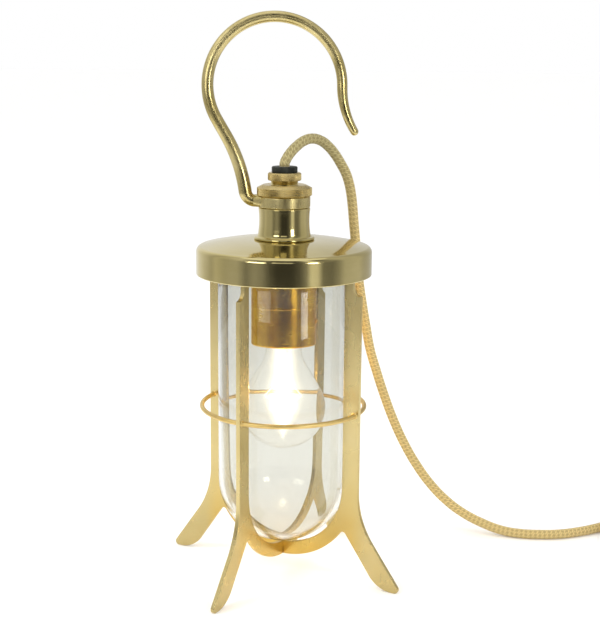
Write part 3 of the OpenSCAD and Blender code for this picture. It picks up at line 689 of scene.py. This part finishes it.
def wellProfile(s):
    inner, ease = s["radius"] - s["wall"], s["rimRound"]
    outside = arc(0, s["archHeight"], s["radius"], -90, 0, 40)
    rim = rounded([(s["radius"], s["rimLow"] - 3), (s["radius"], s["rimLow"], ease),
        (s["rim"], s["rimLow"], ease), (s["rim"], s["rimHigh"], ease),
        (inner, s["rimHigh"], ease)], 5)[1:]
    return outside + rim + arc(0, s["archHeight"], inner, 0, -90, 40)


def seeThrough(piece):
    # its shadow stays clear, as thin glass lets the light by
    piece.visible_shadow = False
    return piece


wellGlass = clearGlass("well_glass", wellLook)[0]
dress(seeThrough(lathe("well_glass", wellProfile(glassSetup), 128, 60)), wellGlass, "lantern",
    "clear_glass", "glass_well")

# lampholder
holderSetup = {"radius": 22.7, "low": 172, "seam": 200, "high": 230, "wall": 1.0, "mouth": 18.6,
    "floor": 1.2, "entry": 8.1, "gap": 0.15, "beadHalf": 0.75, "beadProud": 0.12,
    "screwHeight": 190, "screwTurns": (-82, 20, 140), "screw": 1.75}


def holderCover(s):
    r, w, top, floor = s["radius"], s["wall"], s["seam"] - s["gap"], s["low"] + s["floor"]
    return rounded([(s["mouth"], s["low"], 0.3), (r, s["low"], 1.3), (r, top, 0.45),
        (r - w, top), (r - w, floor), (s["mouth"], floor)], 5)


def holderTop(s):
    r, w, low, high = s["radius"], s["wall"], s["seam"] + s["gap"], s["high"]
    return rounded([(r - w, low), (r, low, 0.45), (r, high, 2.2),
        (s["entry"], high), (s["entry"], high - w), (r - w, high - w)], 5)


def seamBead(s):
    r, proud = s["radius"] - 1, s["radius"] + s["beadProud"]
    low, high = s["seam"] - s["beadHalf"], s["seam"] + s["beadHalf"]
    return rounded([(r, low), (proud, low, 0.4), (proud, high, 0.4), (r, high)], 4)


def coverScrews(s):
    # cheese heads with a dimple, round the cover
    bm = bmesh.new()
    r, out = s["screw"], s["radius"]
    head = [(0.05, out - 3), (r * 0.75, out - 3), (r * 0.75, out - 0.1), (r, out - 0.1),
        (r, out + 0.45), (r - 0.25, out + 0.7), (0.9, out + 0.7), (0.75, out + 0.35),
        (0.05, out + 0.35)]
    lifted = Matrix.Translation((0, 0, s["screwHeight"] * mm))
    for turn in s["screwTurns"]:
        spinProfile(bm, head, 24, rotation(turn) @ lifted @ rotation(90, "Y"))
    return pieceFrom(bm, "cover_screws", 30)


for name, profile, nodes in (("holder_cover", holderCover, ["holder_shell"]),
        ("holder_top", holderTop, ["holder_cap"]), ("holder_seam", seamBead, [])):
    dress(lathe(name, profile(holderSetup), 128), finish["amber"], "lantern", "amber_brass",
        *nodes, evenNormals=bool(nodes))
dress(coverScrews(holderSetup), finish["amber"], "lantern", "amber_brass", "holder_screws")

# bulb
bulbSetup = {"ball": 30, "ballHeight": 124, "shoulder": 26, "neck": 12.5, "neckLow": 172.5,
    "neckHigh": 180, "shoulderPull": 26, "neckPull": 15,
    "cap": 12.55, "capLow": 175.2, "capHigh": 199.5, "thread": 3.6, "threadDepth": 0.45,
    "stemLow": 150, "stemFlare": 8.5, "pinch": 3.4,
    "filamentHeight": 133, "halfWidth": 13, "coilTurns": 26, "sag": 4.5}


def bulbProfile(s):
    # a ball whose side runs on a long hollow curve into the neck
    shoulder = math.radians(s["shoulder"])
    ball = arc(0, s["ballHeight"], s["ball"], -90, s["shoulder"], 40)
    p0, p3 = Vector(ball[-1]), Vector((s["neck"], s["neckLow"]))
    p1 = p0 + Vector((-math.sin(shoulder), math.cos(shoulder))) * s["shoulderPull"]
    p2 = p3 - Vector((0, s["neckPull"]))
    curve = [tuple((1 - t) ** 3 * p0 + 3 * t * (1 - t) ** 2 * p1 + 3 * t * t * (1 - t) * p2
        + t ** 3 * p3) for t in shares(20)]
    return ball + curve + [(s["neck"], s["neckHigh"]), (0, s["neckHigh"])]


bulbLook = {"tint": (0.99, 0.985, 0.97, 1), "ior": 1.02, "coat": 1.0, "smears": 40, "waves": 18,
    "haze": 0.02, "depth": 0.0001}
# the bulb's gas glow is painted light, standing in for the filament's glare
glowSetup = {"low": 99, "high": 180, "wideRadius": 21, "falloff": 3.0, "strength": 300.0,
    "halo": 2.6, "colour": (1.0, 0.9, 0.7, 1),
    "widths": [(0.0, 0.02), (0.25, 0.75), (0.4, 1), (0.62, 0.72), (1.0, 0.62)]}


def bulbGlass(name, look, glow):
    # a glow painted into the gas inside, standing in for the filament's glare: flame-shaped round
    # the filament, read from height and radius
    material, tree, shader = clearGlass(name, look)
    parts, radius = aboutAxis(tree)
    height = remap(tree, parts["Z"], glow["low"] * mm, glow["high"] * mm, 0.0, 1.0)
    reach = ramp(tree, height, *[(level, (v, v, v, 1)) for level, v in glow["widths"]])
    share = calc(tree, "DIVIDE", radius, reach)
    fall = remap(tree, share, 0.0, glow["wideRadius"] * mm, 1.0, 0.0)
    soft = calc(tree, "POWER", fall, glow["falloff"])
    paintedGlare = addNode(tree, "Emission", {"Color": glow["colour"]})
    tree.links.new(calc(tree, "MULTIPLY_ADD", soft, glow["strength"], glow["halo"]),
        paintedGlare.inputs["Strength"])
    tree.links.new(paintedGlare.outputs[0], tree.nodes["Material Output"].inputs["Volume"])
    return material


dress(seeThrough(lathe("bulb_envelope", bulbProfile(bulbSetup), 96, 60)),
    bulbGlass("bulb_clear_glass", bulbLook, glowSetup), "bulb", "bulb_glass", "bulb_glass")


def screwCap(s):
    # a rolled thread, as plain rings one pitch apart
    bm = bmesh.new()
    outer, low, high = s["cap"], s["capLow"], s["capHigh"]
    rows = [(outer - 1.0, high - 0.8), (outer, high - 1.6)]
    rows += [(outer + s["threadDepth"] * math.sin(k * math.pi / 3),
        high - 2.5 - k * s["thread"] / 6) for k in range(34)]
    rows += [(outer, low), (outer - 0.5, low), (outer - 1.6, high - 1.6)]
    spinProfile(bm, rows, 64)
    return pieceFrom(bm, "bulb_screw_cap", 70)


dress(screwCap(bulbSetup), finish["zinc"], "bulb", "bulb_metal", "bulb_cap")


def glowMaterial(name, colour, strength, patch):
    # glowing parts, with brighter and dimmer patches along them: the filament is hot, while the
    # glass mount's glow is painted light from the filament
    material, tree, shader = startMaterial(name, {"Roughness": 0.4, "Emission Strength": strength})
    cloud = noise(tree, place(tree), patch, 2.0)
    dim = tuple(c * 0.72 for c in colour[:3]) + (1,)
    tone = ramp(tree, cloud, (0.35, dim), (0.65, colour))
    tree.links.new(tone, shader.inputs["Emission Color"])
    tree.links.new(tone, shader.inputs["Base Color"])
    return material


def stemPiece(s):
    # the glass mount: a flare in the neck drawn down to a narrow pinch
    top, low, flare, pinch = s["neckHigh"] - 1, s["stemLow"], s["stemFlare"], s["pinch"]
    drawn = [(pinch + (flare - pinch) * (1 - t) ** 2.4, top - (top - low) * t)
        for t in shares(12)[:-1]]
    profile = [(0, top), (flare, top)] + drawn + [(3.2, low + 1.5), (2.4, low), (0, low - 0.6)]
    return lathe("bulb_mount", profile, 48, 60)


def filamentPiece(s):
    # two lead wires and a coiled wire hung between them
    bm = bmesh.new()
    low, height, half = s["stemLow"], s["filamentHeight"], s["halfWidth"]
    wires = [("lead", 0.7, 8, [(side * (1.5 + (half - 1.5) * t ** 1.3), 0,
        low + 1 - (low + 1 - height) * t) for t in shares(8, 0)]) for side in (-1, 1)]
    coil = []
    for t in shares(s["coilTurns"] * 10, 0):
        a = 2 * math.pi * s["coilTurns"] * t
        hang = height - s["sag"] * (1 - (2 * t - 1) ** 2)
        coil.append((half * (2 * t - 1), math.cos(a), hang + math.sin(a)))
    for name, thick, sides, points in wires + [("coil", 0.45, 6, coil)]:
        bm.from_mesh(sweptTube(name, [(p, thick * mm) for p in turned(points)], sides))
    return pieceFrom(bm, "bulb_coil", 80)


# the glass mount's glow is painted light, standing in for the filament's light in its glass
dress(stemPiece(bulbSetup), glowMaterial("mount_painted_glow", (1.0, 0.93, 0.78, 1), 1.0, 90), "bulb",
    "bulb_glass", "bulb_stem")
dress(filamentPiece(bulbSetup), glowMaterial("hot_wire", (1.0, 0.86, 0.55, 1), 1.6, 300), "bulb",
    "filament", "bulb_filament")
print("glass, lampholder and bulb made")

# cord route, as the CAD has it
cordLead = [
    (0, 0, 294.5), (0, 0, 296.4), (1.4, 1.2, 299.8), (4.2, 3.7, 303.8), (8, 7.2, 307.6),
    (12.8, 11.6, 311), (19, 16.6, 312.6), (25.4, 21.3, 310.9), (31, 25, 306.6),
    (36, 28.4, 300.6), (40.3, 31.3, 293.8), (43.8, 33.7, 287.4), (46.2, 35.6, 280.8),
    (48, 37.4, 273), (49.4, 39.4, 263.5), (50.8, 42, 250), (52.4, 44.8, 235.6), (54, 47.2, 220),
    (56.1, 50, 203), (58.8, 53, 187), (62, 56.5, 170), (65.6, 60.5, 152), (71, 64.5, 134),
    (78, 68.5, 113), (86, 72, 92), (95, 75, 72.5), (105, 76.3, 55), (116.5, 76.5, 39),
    (129, 75.6, 26), (143, 73.5, 15.8), (158, 70, 8.8), (172, 65.5, 4.8), (186, 61.5, 3.6),
    (201, 59.5, 3.6), (217, 60.5, 3.6), (233, 65.5, 3.6), (249, 73.5, 3.6), (265, 83.5, 3.6),
    (280, 91.5, 3.8), (293, 96.3, 4.2)]
cordTail = [
    (327, 31.4, 18.8), (321, 21, 18), (315.5, 11.5, 15.5), (310, 2, 12.6), (305.5, -5.8, 11),
    (301, -13.6, 10.5)]
cordSetup = {
    "diameter": 7.2, "length": 1.8,
    "coilCentre": (305, 58), "outerTurn": 39.6, "innerTurn": 32.4, "layers": (4.4, 11.6, 18.8),
    "turns": 5.3333, "pointsPerTurn": 18,
    "sides": 32, "fineStep": 0.55, "coarseStep": 0.85, "fineLength": 590,
    "strands": 8, "pitch": 28.0, "rise": 0.34, "level": 0.75,
}


def eased(t, start, end):
    x = min(1, max(0, (t - start) / (end - start)))
    return x * x * (3 - 2 * x)


def coilPoints(s):
    # three layers of up to two turns; the cord steps in, up, out, up and in again
    count = round(s["turns"] * s["pointsPerTurn"])
    low, middle, high = s["layers"]
    across = s["outerTurn"] - s["innerTurn"]
    cx, cy = s["coilCentre"]
    points = []
    for i in range(count + 1):
        t = i * s["turns"] / count
        angle = math.radians(90) - 2 * math.pi * t
        inward = eased(t, 0.85, 1.0) - eased(t, 2.55, 2.7) + eased(t, 4.25, 4.4)
        r = s["outerTurn"] - across * inward
        z = low + (middle - low) * eased(t, 1.7, 1.85) + (high - middle) * eased(t, 3.4, 3.55)
        points.append((cx + r * math.cos(angle), cy + r * math.sin(angle), z))
    return points


def smoothLine(points):
    # a line through every point, from a Bezier curve with automatic handles
    data = bpy.data.curves.new("guide", "CURVE")
    data.dimensions = "3D"
    data.resolution_u = 24
    spline = data.splines.new("BEZIER")
    spline.bezier_points.add(len(points) - 1)
    for knot, p in zip(spline.bezier_points, points):
        knot.co = p
        knot.handle_left_type = knot.handle_right_type = "AUTO"
    return [v.co.copy() for v in meshFrom(data).vertices]


def evenly(line, s):
    # (place, distance along) in fine steps, and in coarser ones past fineLength
    marks, travelled, target = [(line[0], 0.0)], 0.0, s["fineStep"] * mm
    for a, b in zip(line, line[1:]):
        span = (b - a).length
        while span > 1e-9 and travelled + span >= target:
            marks.append((a.lerp(b, (target - travelled) / span), target))
            target += (s["fineStep"] if target < s["fineLength"] * mm else s["coarseStep"]) * mm
        travelled += span
    return marks


def weave(angle, along, s):
    # how proud the braid stands there, 0 to 1: two sets of strands cross over and under
    first = s["strands"] * (angle / (2 * math.pi) + along / (s["pitch"] * mm))
    second = s["strands"] * (angle / (2 * math.pi) - along / (s["pitch"] * mm))
    over = math.cos(math.pi * first) * math.cos(math.pi * second)
    crown = abs(math.sin(math.pi * (first if over > 0 else second)))
    return crown ** 0.7 * (0.55 + 0.45 * abs(over) ** 0.5), over


def braidedCord(points, s):
    marks = evenly(smoothLine(points), s)
    mesh = sweptTube("braided_cord", [(p, s["diameter"] * mm) for p, _ in marks], s["sides"])
    sides = s["sides"]
    proud = mesh.attributes.new("proud", "FLOAT", "POINT")
    lay = mesh.attributes.new("lay", "FLOAT", "POINT")
    places = mesh.attributes.new("braid", "FLOAT_VECTOR", "POINT")
    for v in mesh.vertices[:len(marks) * sides]:
        ring, side = divmod(v.index, sides)
        centre, along = marks[ring]
        angle = 2 * math.pi * side / sides
        height, over = weave(angle, along, s)
        v.co += (v.co - centre).normalized() * (height - s["level"]) * s["rise"] * mm
        proud.data[v.index].value = height
        lay.data[v.index].value = over
        half = s["diameter"] / 2
        places.data[v.index].vector = (math.cos(angle) * half, math.sin(angle) * half, along / mm)
    mesh.shade_smooth()
    return link(bpy.data.objects.new("braided_cord", mesh)), [p for p, _ in marks]


braidLook = {
    "strandLightAndShade": [(0.2, (0.1, 0.08, 0.025, 1)), (0.6, (0.45, 0.365, 0.15, 1)),
        (0.95, (0.76, 0.65, 0.33, 1))],
    "fibre": (0.7, 0.62, 0.36, 1), "cloud": (0.46, 0.39, 0.18, 1), "cross": (0.27, 0.21, 0.08, 1),
    # top and low multiply the colour by height: painted shade near the top, painted light lower
    # down
    "top": (0.84, 0.86, 0.84, 1), "low": (1.32, 1.22, 1.1, 1), "fade": (305, 250),
    "fibreScale": 3.2, "cloudScale": 55, "fibreDepth": 0.00012,
}


def braidMaterial(name, look):
    # cotton strands: paler where proud, a painted highlight, and darker between, painted shade,
    # with fine yarns along each strand
    material, tree, shader = startMaterial(name, {"Roughness": 0.85, "Sheen Weight": 0.15,
        "Sheen Roughness": 0.5, "Sheen Tint": (1.0, 0.95, 0.85, 1)})
    proud, lay, places = [addNode(tree, "Attribute", attribute_name=kind)
        for kind in ("proud", "lay", "braid")]
    fibre = noise(tree, places.outputs["Vector"], look["fibreScale"], 4.0)
    cloud = noise(tree, place(tree), look["cloudScale"], 2.0)
    # painted highlight on the proud strands and painted shade in the gaps between them
    tone = ramp(tree, proud.outputs["Fac"], *look["strandLightAndShade"])
    tone = mixColour(tree, remap(tree, fibre, 0.35, 0.7, 0.0, 0.45), tone, look["fibre"])
    tone = mixColour(tree, remap(tree, cloud, 0.4, 0.7, 0.0, 0.25), tone, look["cloud"])
    # the strands that wind the other way catch less light
    crossed = remap(tree, lay.outputs["Fac"], 0.15, -0.15, 0.0, 0.65)
    tone = mixColour(tree, crossed, tone, look["cross"])
    # painted light and shade by height: darker and greyer where it leaves the lantern, brighter and
    # warmer lower down
    parts = addNode(tree, "SeparateXYZ")
    tree.links.new(place(tree), parts.inputs[0])
    high, low = look["fade"]
    lower = remap(tree, parts.outputs["Z"], high * mm, low * mm, 0.0, 1.0)
    heightLightAndShade = mixColour(tree, lower, look["top"], look["low"])
    tree.links.new(mixColour(tree, 1.0, tone, heightLightAndShade, "MULTIPLY"), shader.inputs["Base Color"])
    bump(tree, shader, fibre, look["fibreDepth"])
    return material


cordPoints = turned(cordLead + coilPoints(cordSetup) + cordTail)
cord, cordLine = braidedCord(cordPoints, cordSetup)
dress(cord, braidMaterial("cotton_braid", braidLook), "lantern", "braid",
    "cord_lead", "cord_coil", "cord_tail")
pins = ["plug_earth_pin", "plug_line_pin", "plug_neutral_pin"]
print("cord braided:", len(cord.data.polygons), "faces")

# pieces that keep their CAD shape
keptFinishes = {
    "ivory": ("plug_cover", "plug_base", "plug_relief", "inner_flex"),
    "black": ("cord_tie", "bulb_insulator"),
    "inner": (*pins, "holder_thread", "centre_contact", "neck_nut", "top_ring", "plug_screw"),
    "steel": ("lid_screws", "neck_washer", "terminal_screws", "plug_fuse"),
    "zinc": ("bulb_contact",),
    "ceramic": ("holder_core",),
    "rubber": ("glass_gasket",),
}
softEdges = {"plug_cover": 1.0, "plug_base": 1.0, "plug_relief": 0.5, "cord_tie": 0.3,
    **dict.fromkeys(pins, 0.5)}
for name, nodes in keptFinishes.items():
    for node in nodes:
        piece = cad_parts[node]
        piece.data.materials.clear()
        piece.data.materials.append(finish[name])
        if node in softEdges:
            piece.modifiers.new("weld", "WELD").merge_threshold = 0.00001
            edge = piece.modifiers.new("soft edges", "BEVEL")
            edge.width, edge.segments = softEdges[node] * mm, 3
            edge.angle_limit = math.radians(40)
print("kept pieces finished")

# floor, light and the tent that the metal reflects
studioSetup = {
    "floor": (0.93, 0.93, 0.925, 1), "floorLift": 0.07, "floorRadius": 30,
    "world": (1.0, 1.0, 1.0, 1), "worldStrength": 1.0, "aim": (0, 0, 0.15),
    "key": {"spot": (-0.9, -1.1, 1.5), "size": 1.1, "energy": 14, "colour": (1.0, 0.99, 0.97)},
    "fill": {"spot": (1.5, -0.2, 1.1), "size": 0.9, "energy": 7, "colour": (1.0, 0.99, 0.97)},
    "bulb": {"spot": (0, 0, 0.133), "size": 0.012, "energy": 0.14, "colour": (1.0, 0.66, 0.3)},
}
# the drum's brightness by its angle in degrees from the front, and windows in it, each as
# middle and half width in degrees, then height and half height in metres
tentSetup = {
    "radius": 0.72, "height": 1.5, "lift": 0.001, "front": -30, "blueShare": 0.98,
    "stops": [(-180, 0.8), (-151, 0.93), (-131, 0.78), (-105, 0.5), (-95, 0.64), (-80, 0.5),
        (-60, 0.48), (-48, 0.22), (-37, 0.34), (-27, 0.27), (-18, 0.11), (-9, 0.05), (10, 0.05),
        (20, 0.11), (28, 0.28), (34, 0.85), (42, 0.78), (49, 0.22), (62, 0.19), (72, 0.31),
        (82, 0.54), (110, 0.62), (122, 0.5), (138, 0.5), (160, 0.6), (180, 0.8)],
    "windows": [(36, 6, 0.35, 0.07), (-2, 13, 0.5, 0.12), (-35, 12, 0.43, 0.1)],
    "windowStrength": 13.0,
}


def addFloor(s):
    bm = bmesh.new()
    bmesh.ops.create_circle(bm, cap_ends=True, segments=96, radius=s["floorRadius"])
    floor = pieceFrom(bm, "floor")
    floor.data.materials.append(startMaterial("pale_floor", {"Base Color": s["floor"],
        "Roughness": 0.9, "Specular IOR Level": 0.1, "Emission Color": (1, 1, 1, 1),
        "Emission Strength": s["floorLift"]})[0])


def tentCloth(s):
    material = bpy.data.materials.new("tent_cloth")
    material.use_nodes = True
    tree = material.node_tree
    tree.nodes.clear()
    coords = addNode(tree, "TexCoord")
    # turned so that the drum's seam lies behind the lantern
    facing = addNode(tree, "Mapping", {"Rotation": (0, 0, math.radians(s["front"]))})
    parts = addNode(tree, "SeparateXYZ")
    tree.links.new(coords.outputs["Object"], facing.inputs["Vector"])
    tree.links.new(facing.outputs[0], parts.inputs[0])
    angle = calc(tree, "ARCTAN2", parts.outputs["X"],
        calc(tree, "MULTIPLY", parts.outputs["Y"], -1.0))
    share = remap(tree, angle, -math.pi, math.pi, 0.0, 1.0)
    tone = ramp(tree, share, *[((a + 180) / 360, (v, v, v * s["blueShare"], 1))
        for a, v in s["stops"]])
    # windows, which the glass bowl mirrors
    bright = 1.0
    for middle, halfWidth, height, halfHeight in s["windows"]:
        beside = calc(tree, "COMPARE", angle, math.radians(middle), math.radians(halfWidth))
        level = calc(tree, "COMPARE", parts.outputs["Z"], height, halfHeight)
        bright = calc(tree, "MULTIPLY_ADD", calc(tree, "MULTIPLY", beside, level),
            s["windowStrength"], bright)
    glow = addNode(tree, "Emission")
    feed(tree, glow, (("Color", tone), ("Strength", bright)))
    # a ray that has only passed through glass doesn't see the drum
    rays = addNode(tree, "LightPath")
    clear = addNode(tree, "BsdfTransparent")
    either = addNode(tree, "MixShader")
    feed(tree, either, ((0, calc(tree, "GREATER_THAN", rays.outputs["Glossy Depth"], 0.5)),
        (1, clear.outputs[0]), (2, glow.outputs[0])))
    out = addNode(tree, "OutputMaterial")
    tree.links.new(either.outputs[0], out.inputs["Surface"])
    return material


def addTent(s):
    # an open drum that only mirror reflections see, with light and dark bands and three windows
    bm = bmesh.new()
    ring = bmesh.ops.create_circle(bm, segments=180, radius=s["radius"])["verts"]
    hoop = list({e for v in ring for e in v.link_edges})
    grown = bmesh.ops.extrude_edge_only(bm, edges=hoop)["geom"]
    bmesh.ops.translate(bm, verts=[g for g in grown if isinstance(g, bmesh.types.BMVert)],
        vec=(0, 0, s["height"]))
    bmesh.ops.translate(bm, verts=bm.verts, vec=(0, 0, s["lift"]))
    tent = pieceFrom(bm, "tent")
    tent.visible_camera = tent.visible_diffuse = tent.visible_shadow = False
    tent.visible_volume_scatter = False
    tent.data.materials.append(tentCloth(s))


def addLight(name, kind, s, aim):
    data = bpy.data.lights.new(name, kind)
    data.energy, data.color = s["energy"], s["colour"]
    light = link(bpy.data.objects.new(name, data))
    light.location = s["spot"]
    if kind == "AREA":
        data.size = s["size"]
        towards = Vector(aim) - Vector(s["spot"])
        light.rotation_euler = towards.to_track_quat("-Z", "Y").to_euler()
    else:
        data.shadow_soft_size = s["size"]
        data.cycles.use_multiple_importance_sampling = False


def addWorld(s):
    world = bpy.data.worlds.new("studio")
    world.use_nodes = True
    background = world.node_tree.nodes["Background"]
    background.inputs["Color"].default_value = s["world"]
    background.inputs["Strength"].default_value = s["worldStrength"]
    scene.world = world
    scene.view_settings.view_transform = "Standard"


addFloor(studioSetup)
addTent(tentSetup)
addWorld(studioSetup)
for name, kind, part in (("key", "AREA", "key"), ("fill", "AREA", "fill"),
        ("bulb_light", "POINT", "bulb")):
    addLight(name, kind, studioSetup[part], studioSetup["aim"])
print("studio lit")
